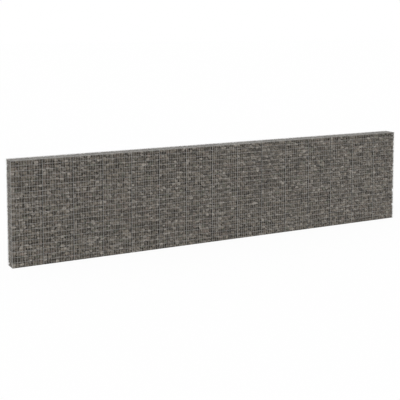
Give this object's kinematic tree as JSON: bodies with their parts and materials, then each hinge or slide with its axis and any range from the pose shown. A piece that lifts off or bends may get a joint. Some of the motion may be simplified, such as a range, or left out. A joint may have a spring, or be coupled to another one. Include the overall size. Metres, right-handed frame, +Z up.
{
  "type": "gabion wall",
  "caption": "Long, narrow free-standing gabion wall: welded galvanised wire panels cage flat angular stones in a row of tall bays closed by wire covers.",
  "frame": {"origin": "middle of the base, on the ground", "axes": "+X along the wall's length to the right as seen from the front, front face towards -Y, +Z up"},
  "size_m": [9, 0.3, 2],
  "materials": {
    "galvanised_wire": "hot-dip galvanised, dull bright grey",
    "stone_fill": "rough broken grey-brown stone"
  },
  "bodies": {
    "root": {"back_panel_01": "galvanised_wire", "back_panel_02": "galvanised_wire", "back_panel_03": "galvanised_wire", "back_panel_04": "galvanised_wire", "back_panel_05": "galvanised_wire", "back_panel_06": "galvanised_wire", "back_panel_07": "galvanised_wire", "back_panel_08": "galvanised_wire", "back_panel_09": "galvanised_wire", "back_panel_10": "galvanised_wire", "back_panel_11": "galvanised_wire", "back_panel_12": "galvanised_wire", "back_panel_13": "galvanised_wire", "back_panel_14": "galvanised_wire", "back_panel_15": "galvanised_wire", "cover_panels_bays_01_to_03": "galvanised_wire", "cover_panels_bays_04_to_06": "galvanised_wire", "cover_panels_bays_07_to_09": "galvanised_wire", "cover_panels_bays_10_to_12": "galvanised_wire", "cover_panels_bays_13_to_15": "galvanised_wire", "front_panel_01": "galvanised_wire", "front_panel_02": "galvanised_wire", "front_panel_03": "galvanised_wire", "front_panel_04": "galvanised_wire", "front_panel_05": "galvanised_wire", "front_panel_06": "galvanised_wire", "front_panel_07": "galvanised_wire", "front_panel_08": "galvanised_wire", "front_panel_09": "galvanised_wire", "front_panel_10": "galvanised_wire", "front_panel_11": "galvanised_wire", "front_panel_12": "galvanised_wire", "front_panel_13": "galvanised_wire", "front_panel_14": "galvanised_wire", "front_panel_15": "galvanised_wire", "left_end_panel": "galvanised_wire", "partition_panels": "galvanised_wire", "right_end_panel": "galvanised_wire", "stone_fill_bays_01_to_03": "stone_fill", "stone_fill_bays_04_to_06": "stone_fill", "stone_fill_bays_07_to_09": "stone_fill", "stone_fill_bays_10_to_12": "stone_fill", "stone_fill_bays_13_to_15": "stone_fill"}
  },
  "joints": []
}
